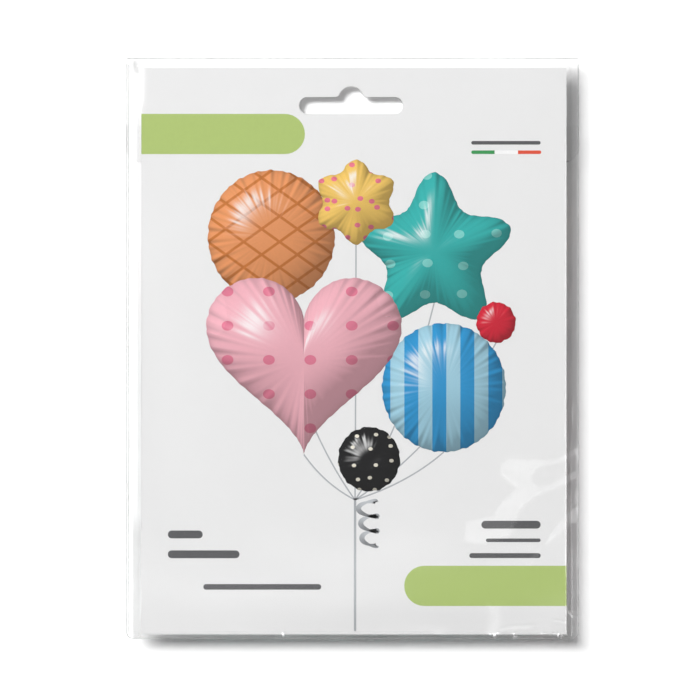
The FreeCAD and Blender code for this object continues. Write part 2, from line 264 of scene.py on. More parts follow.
def bell(distance, width):
    """1 at no distance, and exp(-1) at a width in mm."""
    return np.exp(-(distance / (width * MM)) ** 2)


# %% [markdown]
# ## Camera
#
# The packet is seen straight on, with hardly any perspective, so the camera stands far off
# with a long lens.

# %% Camera
FIELD = 0.21507         # width that the picture takes in, at the card
LENS = 150.0            # mm, on a 36 mm sensor
AIM = Vector((-0.00035, 0.0, -0.08095))

camera_data = bpy.data.cameras.new("camera")
camera_data.lens = LENS
camera_data.sensor_width = 36.0
camera_distance = FIELD * LENS / camera_data.sensor_width
camera_data.clip_end = 20.0
camera = bpy.data.objects.new("camera", camera_data)
camera.location = AIM + Vector((0, -camera_distance, 0))
camera.rotation_euler = (math.pi / 2, 0, 0)
bpy.context.scene.collection.objects.link(camera)
bpy.context.scene.camera = camera
bpy.context.scene.view_settings.view_transform = "Standard"
print("camera distance, m:", round(camera_distance, 3))

# %% [markdown]
# ## Light
#
# Two softboxes up on the left, a strong key and a weaker one nearer the camera, give the shadow
# on the right and below. A weak one low on the right glances off the creases of the film, and
# the last lights the back of the packet. The world is white where the camera looks past
# everything; for the rest it is a plain grey fill in front and brighter panels behind.

# %% Lamps and world


def softbox(name, towards, distance, width, height, power):
    """Rectangular area lamp, aimed at the middle of the packet from a direction."""
    lamp = bpy.data.lights.new(name, "AREA")
    lamp.shape = "RECTANGLE"
    lamp.size, lamp.size_y = width, height
    lamp.energy = power
    holder = bpy.data.objects.new(name, lamp)
    direction = Vector(towards).normalized()
    holder.location = AIM + direction * distance
    holder.rotation_euler = direction.to_track_quat("Z", "Y").to_euler()
    bpy.context.scene.collection.objects.link(holder)


# name, direction to the right, back and up, distance and size in metres, power in watts
softbox("key", (-0.95, -1.0, 0.78), 4.4, 1.6, 1.6, 238.0)
softbox("front", (-0.45, -1.0, 0.78), 4.4, 1.6, 1.2, 32.5)
softbox("glance", (0.30, -1.0, -0.16), 1.4, 0.30, 0.30, 1.2)
softbox("rear", (0.7, 1.0, 0.8), 2.4, 1.2, 1.2, 58.0)
print("lamps:", [lamp.name for lamp in bpy.data.lights])

FILL = 0.12
REAR_FILL = 1.4
WHITE = (1, 1, 1, 1)
world = bpy.data.worlds.new("studio")
bpy.context.scene.world = world
world.use_nodes = True
world.node_tree.nodes.clear()
path = add(world, "LightPath").outputs
seen = calc(world, "MAXIMUM", path["Is Camera Ray"], path["Is Transmission Ray"])
# behind the packet the room is brighter, with darker gaps between its lamps
around = add(world, "TexCoord").outputs["Generated"]
towards = add(world, "SeparateXYZ", {0: around}).outputs
lamps = ranged(world, noise(world, around, 4.0, 1.0), 0.10, REAR_FILL, 0.42, 0.56)
behind = ranged(world, towards[1], 0.0, 1.0, -0.05, 0.25)
fill = mix(world, behind, FILL, lamps, "FLOAT")
strength = mix(world, seen, fill, 1.0, "FLOAT")
sky = shader(world, "Background", {"Color": WHITE, "Strength": strength})
add(world, "OutputWorld", {"Surface": sky})

# %% [markdown]
# ## Backdrop and floor
#
# A white wall stands just behind the packet, as a display board does, and takes its shadow. It
# is one-sided, and only what is seen through to it counts, so the packet can be looked at from
# behind. The floor lies well below.

# %% Paint of the wall
WALL_GAP = 0.0014
wall_y = float(cad_bounds[1][1]) + WALL_GAP
foil_middle, foil_half = (pack_low + pack_high) / 2, (pack_high - pack_low) / 2 + 8 * MM


def wall_paint(name, glow, left_white=1.0, right_white=None):
    """White paint on the front only: solid to what looks at it and to light that has bounced."""
    material = new_material(name)
    along = add(material, "SeparateXYZ", {0: object_place(material)}).outputs
    white = WHITE
    if right_white is not None:
        # the wall brightens to the right behind the packet, so that the shadow ends tightly
        white = ranged(material, along[0], left_white, right_white, -0.03, 0.05)
    path = add(material, "LightPath").outputs
    # the foil turns its back to the wall, so its reflections pass through to the room behind
    over_foil = calc(material, "MULTIPLY", *(
        calc(material, "COMPARE", along[axis], float(foil_middle[axis]), float(foil_half[axis]))
        for axis in (0, 2)))
    shiny = calc(material, "SUBTRACT", path["Is Glossy Ray"], over_foil)
    mirrored = calc(material, "MAXIMUM", shiny, path["Is Transmission Ray"])
    seen = calc(material, "MAXIMUM", path["Is Camera Ray"], mirrored)
    # once light has bounced, the wall is solid to the lamps, so the rear one can't reach through
    bounced = calc(material, "ADD", path["Diffuse Depth"], path["Is Shadow Ray"])
    closed = calc(material, "GREATER_THAN", bounced, 1.5)
    either = calc(material, "MAXIMUM", seen, closed)
    behind = add(material, "NewGeometry").outputs["Backfacing"]
    solid = calc(material, "MULTIPLY", either, calc(material, "SUBTRACT", 1.0, behind))
    paint = shader(material, "BsdfDiffuse", {"Color": white})
    lift = shader(material, "Emission", {"Color": WHITE, "Strength": glow})
    lit = shader(material, "AddShader", {0: paint, 1: lift})
    clear = shader(material, "BsdfTransparent", {})
    return finish_material(material, shader(material, "MixShader", {0: solid, 1: clear, 2: lit}))


# %% Wall, peg plate, lamp flag and floor


def stage_piece(name, points, faces, paint):
    """Flat piece of the stage."""
    mesh_piece(name, points, faces, paint, smooth=False)


def upright(x, z_low, z_high, y):
    """Corners of an upright rectangle that faces the front, x to either side of the middle."""
    return [(-x, y, z_low), (x, y, z_low), (x, y, z_high), (-x, y, z_high)]


WALL = 0.45               # half the wall's size
stage_piece("wall", upright(WALL, -WALL - 0.08, WALL - 0.08, wall_y), [(0, 1, 2, 3)],
            wall_paint("white_wall", glow=0.04, left_white=1.10, right_white=1.11))

# the peg's plate stands nearer, behind the slot
PEG_PLATE_Y = 0.0019
# its paint glows more than the wall's, which lightens the shadow seen through the slot
stage_piece("peg_plate", upright(0.024, -0.012, 0.003, PEG_PLATE_Y), [(0, 1, 2, 3)],
            wall_paint("peg_plate", glow=0.12))

# a flag that only lamps see: the bag's top and left margins shade the wall a little, as its
# folds and welds do
flag_paint = new_material("lamp_flag")
passed = ranged(flag_paint, add(flag_paint, "LightPath").outputs["Is Shadow Ray"], 1.0, 0.45)
finish_material(flag_paint, shader(flag_paint, "BsdfTransparent", {"Color": passed}))
left, right, top = film_low[0] + 1.2 * MM, card_high[0] + 1.2 * MM, hinge[2]
flag_points = [(x, hinge[1], z) for x, z in
               ((left, card_low[2]), (card_low[0], card_low[2]), (card_low[0], card_high[2]),
                (right, card_high[2]), (right, top), (left, top))]
stage_piece("lamp_flag", flag_points, [(0, 1, 2, 5), (2, 3, 4, 5)], flag_paint)

floor_paint = new_material("pale_floor")
path = add(floor_paint, "LightPath").outputs
paint = shader(floor_paint, "BsdfDiffuse", {"Color": linear("#505050")})
panels = noise(floor_paint, object_place(floor_paint), 4.0, 0.0)
bounce = ranged(floor_paint, panels, 0.12, 1.25, 0.44, 0.56)
mirrored = calc(floor_paint, "MULTIPLY", path["Is Glossy Ray"], bounce)
glow = calc(floor_paint, "MAXIMUM", path["Is Camera Ray"], mirrored)
lift = shader(floor_paint, "Emission", {"Color": WHITE, "Strength": glow})
finish_material(floor_paint, shader(floor_paint, "AddShader", {0: paint, 1: lift}))
FLOOR, FLOOR_Z = 3, -0.32
floor_points = [(-FLOOR, -FLOOR, FLOOR_Z), (FLOOR, -FLOOR, FLOOR_Z),
                (FLOOR, FLOOR, FLOOR_Z), (-FLOOR, FLOOR, FLOOR_Z)]
stage_piece("floor", floor_points, [(0, 1, 2, 3)], floor_paint)
print("wall behind the packet, mm:", round(WALL_GAP / MM, 2))

# %% [markdown]
# ## Outlines
#
# The card, the film and the flap are flat sheets punched with one euro slot. An outline is
# worked out from its arcs. A sheet is then filled with a regular grid of points, and a
# constrained triangulation keeps its edges exact, so that the film can be creased freely.

# %% Outlines
SLOT_WIDTH = 32.0 * MM
SLOT_HEIGHT = 5.2 * MM
SLOT_OVERALL = 8.45 * MM
BUMP_RADIUS = 4.0 * MM
BUMP_FILLET = 1.2 * MM


def arc(x, z, radius, start, stop, count):
    """Points on a circle from one angle to another, both included."""
    angle = np.linspace(start, stop, count)
    return packed(x + radius * np.cos(angle), z + radius * np.sin(angle))


def euro_slot(grow=0.0):
    """Outline of the slot: two round ends, a bump and the fillets beside it."""
    end = SLOT_HEIGHT / 2 + grow
    reach = SLOT_WIDTH / 2 - SLOT_HEIGHT / 2
    middle = SLOT_HEIGHT / 2 - SLOT_OVERALL
    high = middle + end
    bump, fillet = BUMP_RADIUS + grow, BUMP_FILLET - grow
    rise = high + fillet + BUMP_RADIUS
    foot = math.sqrt((bump + fillet) ** 2 - rise ** 2)
    lean = math.atan2(rise, foot)
    quarter = math.pi / 2
    parts = (arc(reach, middle, end, -quarter, quarter, 13),
             arc(foot, high + fillet, fillet, 3 * quarter, 2 * quarter + lean, 7),
             arc(0, -BUMP_RADIUS, bump, lean, 2 * quarter - lean, 21)[1:-1],
             arc(-foot, high + fillet, fillet, 4 * quarter - lean, 3 * quarter, 7),
             arc(-reach, middle, end, quarter, 3 * quarter, 13))
    return np.concatenate(parts)


def rounded_outline(low, high, radii, steps=6):
    """Rectangle with one radius for each corner: lower left, lower right, upper right, upper left."""
    (x0, z0), (x1, z1) = low, high
    quarter = math.pi / 2
    corners = ((x0, z0, 1, 1, 2), (x1, z0, -1, 1, 3), (x1, z1, -1, -1, 0), (x0, z1, 1, -1, 1))
    parts = [arc(x + sx * r, z + sz * r, r, turn * quarter, (turn + 1) * quarter, steps)
             for (x, z, sx, sz, turn), r in zip(corners, radii)]
    return np.concatenate(parts)


# %% Flat sheets


def divided(loop, step):
    """Closed outline with its long edges divided into runs of about one step."""
    following = np.roll(loop, -1, axis=0)
    runs = np.maximum(1, np.round(np.linalg.norm(following - loop, axis=1) / step).astype(int))
    pieces = [a + (b - a) * np.linspace(0, 1, n, endpoint=False)[:, None]
              for a, b, n in zip(loop, following, runs)]
    return np.concatenate(pieces)


def inside(points, *loops):
    """Even-odd test of many points against closed outlines."""
    x, z = points[:, :1], points[:, 1:]
    crossings = 0
    for loop in loops:
        (x0, z0), (x1, z1) = loop.T, np.roll(loop, -1, axis=0).T
        rise = np.where(z1 == z0, 1.0, z1 - z0)
        crossed = ((z0 > z) != (z1 > z)) & (x < x0 + (z - z0) / rise * (x1 - x0))
        crossings = crossings + crossed.sum(axis=1)
    return crossings % 2 == 1


def nearest(points, loop):
    """Distance from many points to the nearest point of a finely divided outline."""
    reach = np.full(len(points), np.inf)
    for corner in loop:
        reach = np.minimum(reach, np.hypot(*(points - corner).T))
    return reach


def grid_points(x0, z0, x1, z1, step):
    """Square grid of points (n, 2) in a box."""
    return packed(*np.meshgrid(np.arange(x0, x1, step), np.arange(z0, z1, step))).reshape(-1, 2)


def triangulated(points, edges=()):
    """Delaunay triangles over points (n, 2), with the given edges kept."""
    filled = delaunay_2d_cdt([Vector(point) for point in points], list(edges), [], 0, 1e-9)
    return np.array([tuple(point) for point in filled[0]]), np.array(filled[2])


def flat_sheet(outline, holes, step, fine=()):
    """Triangulated flat sheet: points (n, 2) and triangles, exact along its edges and holes.

    Each box given as fine, x0 z0 x1 z1 and parts, is filled at the step over its parts.
    """
    loops = [divided(loop, step) for loop in (outline, *holes)]
    grid = grid_points(*(loops[0].min(axis=0) + step / 2), *loops[0].max(axis=0), step)
    for x0, z0, x1, z1, parts in fine:
        coarse = (grid < (x0, z0)).any(axis=1) | (grid > (x1, z1)).any(axis=1)
        grid = np.concatenate((grid[coarse], grid_points(x0, z0, x1, z1, step / parts)))
    keep = inside(grid, *loops) & (nearest(grid, np.concatenate(loops)) > 0.45 * step)
    edges = []
    for loop in loops:
        first, count = len(edges), len(loop)
        edges += [(first + i, first + (i + 1) % count) for i in range(count)]
    points, faces = triangulated(np.concatenate(loops + [grid[keep]]), edges)
    return points, faces[inside(points[faces].mean(axis=1), *loops)]


# %% [markdown]
# ## The insert card
#
# The card is coated board: matte, very slightly mottled, a light neutral grey. The solid from
# the frame already has its outline, so it only gets its finish.

# %% Coated board


def dress(node, material):
    """Give a solid of the frame its finish."""
    materials = frame["nodes"][node].data.materials
    materials.clear()
    materials.append(material)


board = new_material("coated_board")
place = object_place(board)
tone = mix(board, noise(board, place, 35.0, 4.0), linear("#ebebeb"), linear("#eeeeee"))
# paper fibres are about 0.03 mm across; drawn at 0.12 mm so that they show
grain = add(board, "Bump", {"Height": noise(board, place, 8000.0), "Strength": 0.04,
                            "Distance": 0.00002})
coat = shader(board, "BsdfPrincipled", {"Base Color": tone, "Roughness": 0.6, "IOR": 1.45,
                                       "Normal": grain.outputs["Normal"]})
dress("insert_card", finish_material(board, coat))
print("card, mm:", (card_high - card_low)[[0, 2]].round(4) / MM)

# %% [markdown]
# ## Ink on the card
#
# The print is flat ink: each printed shape is a very thin patch that lies on the board, one above
# the other like the passes of a press. The two green label shapes run off the card's edges. The
# lines of small print are plain bars.

# %% Ink and printed shapes
INK = 0.008 * MM          # one pass of ink above the next


def ink(name, ground, figure=None, mask=None, shaded=False):
    """Matte printing ink: one colour, or two divided by mask(material, place) -> socket."""
    material = new_material(name)
    place = object_place(material)
    speckle = ranged(material, noise(material, place, 900.0), 0.97, 1.03)
    colour = add(material, "HueSaturation", {"Color": linear(ground), "Value": speckle}).outputs[0]
    if mask is not None:
        colour = mix(material, mask(material, place), colour, linear(figure))
    if shaded:
        dark = calc(material, "MULTIPLY", colour, carried(material, "shade"), kind="VectorMath")
        colour = mix(material, carried(material, "shine"), dark, WHITE)
    return finish_material(material, shader(material, "BsdfPrincipled", {
        "Base Color": colour, "Roughness": 0.5, "IOR": 1.45, "Specular IOR Level": 0.3}))


def on_card(points, layer):
    """Points (n, 2) of the card's plane, a number of ink passes above the board."""
    points = np.asarray(points, dtype=float)
    depth = np.full(len(points), card_low[1] - layer * INK)
    return packed(points[:, 0], depth, points[:, 1])


def lay_ink(piece):
    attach(piece, "packet")
    return piece


def ink_shape(name, outline, material, layer):
    """One printed shape with no shading: a face from its outline, anticlockwise from the front."""
    return lay_ink(mesh_piece(name, on_card(outline, layer), [list(range(len(outline)))],
                              material, smooth=False))


def bar(left, right, middle, height, ends=(True, True)):
    """Outline of a bar with full round ends where asked, square where it runs off the card."""
    half = height / 2
    quarter = math.pi / 2
    right_end = (arc(right - half, middle, half, -quarter, quarter, 17) if ends[1]
                 else np.array([(right, middle - half), (right, middle + half)]))
    left_end = (arc(left + half, middle, half, quarter, 3 * quarter, 17) if ends[0]
                else np.array([(left, middle + half), (left, middle - half)]))
    return np.concatenate((right_end, left_end))


# %% Labels, small print and rule
LABEL_HEIGHT = 12.35 * MM
label_green = ink("label_ink", "#b3c878")
ink_shape("label_top", bar(card_low[0], -14.2 * MM, -14.6 * MM, LABEL_HEIGHT, (False, True)),
          label_green, 1)
ink_shape("label_bottom", bar(16.3 * MM, card_high[0], -153.4 * MM, LABEL_HEIGHT, (True, False)),
          label_green, 1)

# left edge, right edge, middle and height of each bar, in millimetres
SMALL_PRINT = ((-56.3, -45.6, -137.6, 2.4), (-56.3, -34.3, -143.7, 2.4), (-45.4, -9.2, -153.7, 1.7),
               (40.0, 58.2, -134.6, 2.4), (41.4, 58.2, -139.4, 1.1), (36.3, 58.2, -144.1, 1.5),
               (36.9, 58.2, -17.3, 1.1))
bar_ink = ink("small_print_ink", "#5d5d5f")
for number, (left, right, middle, height) in enumerate(SMALL_PRINT, start=1):
    ink_shape(f"small_print_{number}", bar(left * MM, right * MM, middle * MM, height * MM),
              bar_ink, 1)

RULE = (36.9, 58.4, -20.2, 1.1)
rule_left, rule_right, rule_middle, rule_height = (value * MM for value in RULE)
third = (rule_right - rule_left) / 3
for index, (name, colour) in enumerate((("green", "#3f9a57"), ("white", "#fbfbfb"),
                                        ("red", "#e2573f"))):
    start = rule_left + index * third
    part = bar(start, start + third, rule_middle, rule_height, (index == 0, index == 2))
    ink_shape(f"rule_{name}", part, ink(f"rule_{name}_ink", colour), 1)
print("small print:", len(SMALL_PRINT), "bars")

# %% [markdown]
# ## The printed picture
#
# The card shows what is in the packet: party balloons of metallised film. Each printed balloon is
# a patch on polar coordinates, from its middle to its crinkled seam. The picture's light and shade
# are worked out from a pretend relief, a pillow with puckers near the seam, and are kept as
# attributes; the pattern is drawn by the material, so that its edges stay sharp.

# %% Balloon outlines
LIGHT = np.array((-0.50, 0.55, 0.67))      # towards the picture's lamp: right, up, out of the card


def heart(angle):
    """Heart: x = 16 sin^3, z = 13 cos - 5 cos 2 - 2 cos 3 - cos 4, half width 1."""
    turn = math.pi / 2 - angle
    x = 16 * np.sin(turn) ** 3
    z = 13 * np.cos(turn) - 5 * np.cos(2 * turn) - 2 * np.cos(3 * turn) - np.cos(4 * turn)
    return packed(x, z + 1.5) / 16


def lobed(points, depth, sharp=0.0):
    """Circle whose radius swells and shrinks: points lobes, the first one at the top."""
    def outline(angle):
        wave = np.cos(points * (angle - math.pi / 2))
        radius = 1 - depth + depth * (wave + sharp * (wave * wave - 0.5))
        return packed(radius * np.cos(angle), radius * np.sin(angle))
    return outline


def round_shape(angle):
    return packed(np.cos(angle), 1.04 * np.sin(angle))


# %% Relief, light and shade of one balloon


def printed_balloon(name, shape, middle, half_width, material, layer, seed, rings=56, spokes=300):
    """Polar patch. Relief: half a pillow, (1 - r^2.6)^0.6 high, plus puckers that grow as r^7."""
    chance = np.random.default_rng(seed)
    angle = np.linspace(0, 2 * math.pi, spokes, endpoint=False)
    size = half_width * MM
    edge = shape(angle) * size
    length = np.linalg.norm(np.roll(edge, -1, axis=0) - edge, axis=1).sum()
    count = max(12, int(length / (3.4 * MM)))
    pucker = sum(np.sin(round(count * k) * angle + chance.uniform(0, 6.3)) * w
                 for k, w in ((1.0, 0.5), (0.63, 0.35), (1.71, 0.25)))
    edge = edge * (1 + 0.009 * pucker * 25 / half_width)[:, None]
    radius = np.linspace(0, 1, rings)[:, None]
    x = middle[0] * MM + radius * edge[:, 0]
    z = middle[1] * MM + radius * edge[:, 1]
    height = size * (0.55 * np.clip(1 - radius ** 2.6, 0, 1) ** 0.6 + 0.045 * radius ** 7 * pucker
                     + 0.02 * swell(x, z, 0.9 * size, 5, seed) * (1 - radius ** 4))
    (xr, xa), (zr, za), (hr, ha) = (
        (np.gradient(field, axis=0), np.roll(field, -1, axis=1) - np.roll(field, 1, axis=1))
        for field in (x, z, height))
    normal = packed(zr * ha - hr * za, hr * xa - xr * ha, xr * za - zr * xa)
    normal[0] = (0, 0, 1)
    normal = unit(normal) * np.sign(normal[..., 2:] + 1e-12)
    lamp = unit(LIGHT)
    shine = np.clip(normal @ unit(lamp + (0, 0, 1)), 0, 1) ** 60
    shade = 0.50 + 0.62 * np.clip(normal @ lamp, 0, 1) - 0.10 * radius ** 14
    points = np.append(packed(x, z)[1:].reshape(-1, 2), [np.array(middle) * MM], axis=0)
    centre = len(points) - 1
    faces = grid_faces(rings - 1, spokes, closed=True)[:, ::-1].tolist()
    faces += [(centre, i, (i + 1) % spokes) for i in range(spokes)]
    piece = mesh_piece(name, on_card(points, layer), faces, material)
    for key, field in (("shade", shade), ("shine", 0.75 * shine)):
        give_attribute(piece, key, np.append(field[1:].ravel(), field[0, 0]))
    return lay_ink(piece)


# %% Patterns


def stripes(angle, pitch, share=0.5, offset=0.0):
    """Mask of straight stripes across a direction: the last share of each pitch."""
    direction = (math.cos(angle) / (pitch * MM), 0, math.sin(angle) / (pitch * MM))

    def mask(material, place):
        across = calc(material, "DOT_PRODUCT", place, direction, kind="VectorMath")
        part = calc(material, "FRACT", calc(material, "ADD", across, offset + 100.0))
        return calc(material, "GREATER_THAN", part, 1 - share)
    return mask


def lattice(angle, pitch, share):
    """Mask of two families of lines that cross, like waffle."""
    def mask(material, place):
        return calc(material, "MAXIMUM", *(stripes(turn, pitch, share)(material, place)
                                           for turn in (angle, math.pi - angle)))
    return mask


def dots(pitch, size, scatter=0.0):
    """Mask of dots, one in each cell of a square grid, moved about by scatter."""
    def mask(material, place):
        flat = add(material, "Mapping", {"Vector": place, "Rotation": (math.pi / 2, 0.6, 0)})
        cells = add(material, "TexVoronoi", {"Vector": flat.outputs[0], "Scale": 1 / (pitch * MM),
                                             "Randomness": scatter}, voronoi_dimensions="2D")
        return calc(material, "LESS_THAN", cells.outputs["Distance"], size / pitch)
    return mask


# %% Seven balloons
star = lobed(5, 0.19, 0.25)
flower = lobed(6, 0.11)
# name, outline, middle in mm, half width in mm, ink, pass, seed
PICTURE = (
    ("waffle_round", round_shape, (-24.5, -46.0), 19.5,
     ink("waffle_ink", "#e79a64", "#c9783a", lattice(0.95, 6.4, 0.13), True), 1, 11),
    ("lemon_flower", flower, (1.5, -35.5), 13.0,
     ink("lemon_ink", "#efc768", "#e8798f", dots(4.6, 0.75, 0.8), True), 2, 12),
    ("teal_star", star, (25.5, -51.0), 24.0,
     ink("teal_ink", "#36b1ad", "#7fd0c9", dots(9.0, 1.3, 0.15), True), 1, 13),
    ("striped_round", round_shape, (28.5, -92.5), 19.0,
     ink("stripe_ink", "#2f97cf", "#a3cfe0", stripes(0.0, 8.6, 0.5, 0.1), True), 2, 14),
    ("pink_heart", heart, (-14.5, -84.0), 30.0,
     ink("rose_ink", "#eeb3be", "#e27f98", dots(10.5, 1.5, 0.0), True), 3, 15),
    ("night_round", round_shape, (5.5, -114.5), 9.5,
     ink("night_ink", "#101012", "#e9e4d4", dots(4.4, 0.55, 0.5), True), 4, 16),
    ("cherry_round", round_shape, (44.5, -72.5), 6.0,
     ink("cherry_ink", "#d3243a", shaded=True), 3, 17),
)
for name, shape, middle, half_width, material, layer, seed in PICTURE:
    printed_balloon(name, shape, middle, half_width, material, layer, seed)
    print(name, "half width, mm:", half_width)


# %% [markdown]
# ## Printed ribbons
#
# From each balloon a thin ribbon runs to one knot, a straight one hangs from there down to the
# card's edge, and a curled one springs beside it. A ribbon is a band carried along a line.

# %% Ribbons
KNOT = np.array((1.2, -127.0)) * MM


def band(name, line, half_width, material, layer, shade):
    """Strip of quads along a line (n, 2); half_width and shade are arrays or one number."""
    across = sideways(line) * np.reshape(half_width, (-1, 1))
    points = np.stack((line - across, line + across), axis=1).reshape(-1, 2)
    piece = mesh_piece(name, on_card(points, layer), grid_faces(len(line), 2), material, smooth=False)
    give_attribute(piece, "shade", np.repeat(np.broadcast_to(shade, len(line)), 2))
    give_attribute(piece, "shine", np.zeros(2 * len(line)))
    return lay_ink(piece)


ribbon_ink = ink("ribbon_ink", "#b9bcc0", shaded=True)
turn = np.linspace(0, 1, 40)[:, None]
for name, shape, middle, half_width, *_ in PICTURE:
    foot = shape(np.array([1.5 * math.pi]))[0] * half_width * MM + np.array(middle) * MM
    if foot[1] < KNOT[1] + 4 * MM:
        continue
    bend = foot * (0.60, 0.35) + KNOT * (0.40, 0.65)
    line = (1 - turn) ** 2 * foot + 2 * turn * (1 - turn) * bend + turn ** 2 * KNOT
    band(f"{name}_ribbon", line, 0.22 * MM, ribbon_ink, 0.5, 0.92)

straight = np.linspace(0, 1, 30)[:, None]
line = KNOT + straight * (np.array((1.2 * MM, card_low[2] + 1.0 * MM)) - KNOT)
band("straight_ribbon", line, 0.36 * MM, ribbon_ink, 1.5, 0.80 + 0.2 * np.sin(straight[:, 0] * 3.0))

curl = np.linspace(0, 1, 240)
CURLS = 3.0
swing = 2 * math.pi * CURLS * curl
line = packed(5.6 + 2.9 * np.cos(swing) * (1 - 0.25 * curl) - (1 - curl) ** 3,
              -127.5 - 13.5 * curl + 0.9 * np.sin(swing)) * MM
width = (0.35 + 0.45 * np.abs(np.cos(swing))) * MM
band("curled_ribbon", line, width, ribbon_ink, 2, 0.78 + 0.34 * np.sin(swing))
print("knot, mm:", KNOT / MM)

# %% [markdown]
# ## The clear film
#
# The bag is cast polypropylene, clear and glossy. Light goes through it almost unchanged and a
# few percent come back as a mirror image, more at a glancing angle, which is what a Fresnel mix
# of a transparent and a glossy shader gives. Where the film is creased, stretched or welded it
# turns slightly milky; an attribute carries that haze, and where it is strong, on creases, puckers,
# edges and the crinkled bottom, it paints highlights and glints. A second attribute dims the film,
# which paints shade along its edges, folds and creases, and beside and low on the card.

# %% Film material
FILM_IOR = 1.49
CLARITY = 0.985           # share of the light that goes straight through


def film_material(name, roughness, cloudiness):
    """Clear film: Fresnel mix of straight-through and mirror, with a haze that also paints highlights
    and an edge dimness that paints shade.
    """
    material = new_material(name)
    # the edge attribute dims what goes straight through: painted shade along edges, folds and creases
    clear = ranged(material, carried(material, "edge"), CLARITY, 0.0)
    straight = shader(material, "BsdfTransparent", {"Color": clear})
    mirror = shader(material, "BsdfAnisotropic", {"Color": WHITE, "Roughness": roughness})
    # one surface stands for both sides of the film, so its index is turned over from behind
    behind = add(material, "NewGeometry").outputs["Backfacing"]
    index = ranged(material, behind, FILM_IOR, 1 / FILM_IOR)
    grazing = add(material, "Fresnel", {"IOR": index}).outputs[0]
    glass = shader(material, "MixShader", {0: grazing, 1: straight, 2: mirror})
    # rub marks on the film are a few millimetres long
    rub = noise(material, object_place(material), 240.0, 3.0)
    patchy = ranged(material, rub, 1 - cloudiness, 1 + cloudiness, 0.35, 0.7)
    # the haze is white diffuse light added on top: milky film, and painted highlights where it is
    # strong
    amount = calc(material, "MULTIPLY", carried(material, "haze_and_painted_highlight"), patchy, use_clamp=True)
    milk = shader(material, "BsdfDiffuse", {"Color": amount})
    return finish_material(material, shader(material, "AddShader", {0: glass, 1: milk}))


clear_film = film_material("cast_polypropylene_film", roughness=0.06, cloudiness=0.25)


def thicken(piece, wall):
    """Closed shell of even wall about the surface."""
    shell = piece.modifiers.new("wall", "SOLIDIFY")
    shell.thickness = wall
    shell.offset = 0.0


def film_piece(name, points, faces, haze_and_painted_highlight, edge=0.0, body="packet"):
    """Piece of clear film with its haze, which also paints highlights, and its dimness, which paints
    shade.
    """
    piece = mesh_piece(name, points, faces, clear_film)
    give_attribute(piece, "haze_and_painted_highlight", np.broadcast_to(haze_and_painted_highlight, len(points)))
    give_attribute(piece, "edge", np.broadcast_to(edge, len(points)))
    if body:
        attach(piece, body)
    return piece


# %% [markdown]
# ## Front of the bag
#
# The film lies on the card, steps down round the card's edges to the welded rim, and is creased
# where the packet has been handled, most of all low on the right. A crease is a soft ridge along
# a line; its relief, its haze and its dimness come from the distance to that line. The haze of
# the creases and of the puckered patch low on the right paints whitish highlights, and the dimness
# paints shade in the creases, along the bend, and beside and low on the card.

# %% Where the front film lies and is creased
FOLD_RADIUS = 0.175 * MM
RIM_Y = hinge[1] - FOLD_RADIUS
CARD_Y = film_low[1] + 0.03 * MM
STEP = 0.95 * MM

# x and z of both ends in mm, half width in mm, height in mm, haze (dimness where it is below 0);
# the haze is partly milky film and partly painted highlight, the dimness is painted shade
CREASES = (
    (-64.2, 13.0, -64.9, -9.5, 0.75, 0.00, 0.30),
    (-66.1, 8.6, -66.1, 3.2, 0.75, 0.02, -0.30),
    (-65.7, -140.0, -64.5, -161.0, 0.25, 0.03, 0.18),
    (-64.3, -155.0, -65.7, -170.0, 0.25, 0.04, 0.24),
    (53.0, -146.8, 59.0, -140.4, 0.7, 0.05, 0.04),
    (43.8, -157.5, 43.6, -170.0, 1.9, 0.06, 0.06),
    (44.0, -167.3, 57.5, -165.5, 0.5, 0.06, 0.10),
    (61.5, -164.0, 66.3, -164.9, 0.4, 0.05, 0.08),
    (66.4, -160.4, 68.0, -163.4, 0.25, 0.04, 0.55),
    (-64.5, -24.0, -50.5, -138.0, 5.5, 0.03, 0.012),
    (21.0, -166.0, 33.0, -168.6, 0.8, 0.05, 0.05),
)

# outlines in mm: the puckered patch low on the right, whose haze paints a whitish sheen, and the
# clear panes inside it
VEIL = np.array(((46.0, -116.1), (48.9, -114.3), (54.3, -114.9), (56.9, -114.4), (60.7, -115.3),
                 (66.2, -112.9), (69.6, -110.6), (69.6, -124.0), (55.0, -136.0),
                 (40.0, -140.5), (34.5, -139.5), (35.5, -133.5), (44.3, -132.0), (44.4, -130.3),
                 (45.9, -127.7), (48.9, -125.7), (50.7, -123.1), (46.0, -119.3))) * MM
PANES = (
    np.array(((69.0, -113.0), (66.1, -114.7), (60.7, -115.9), (56.4, -117.5), (55.3, -119.5),
              (55.6, -121.3), (57.1, -123.1), (61.8, -122.4), (66.1, -119.3), (69.0, -118.0))) * MM,
    np.array(((71.0, -119.2), (66.1, -121.7), (58.7, -124.7), (56.1, -126.2), (53.0, -128.8),
              (51.2, -130.8), (50.5, -132.9), (47.5, -141.0), (71.0, -141.0))) * MM,
)
STREAK = np.array(((59.3, -140.8), (61.0, -138.0), (66.1, -131.4), (69.6, -128.6), (69.6, -133.6),
                   (66.1, -135.3), (61.0, -139.6))) * MM


# %% Relief, haze and painted shade of the film


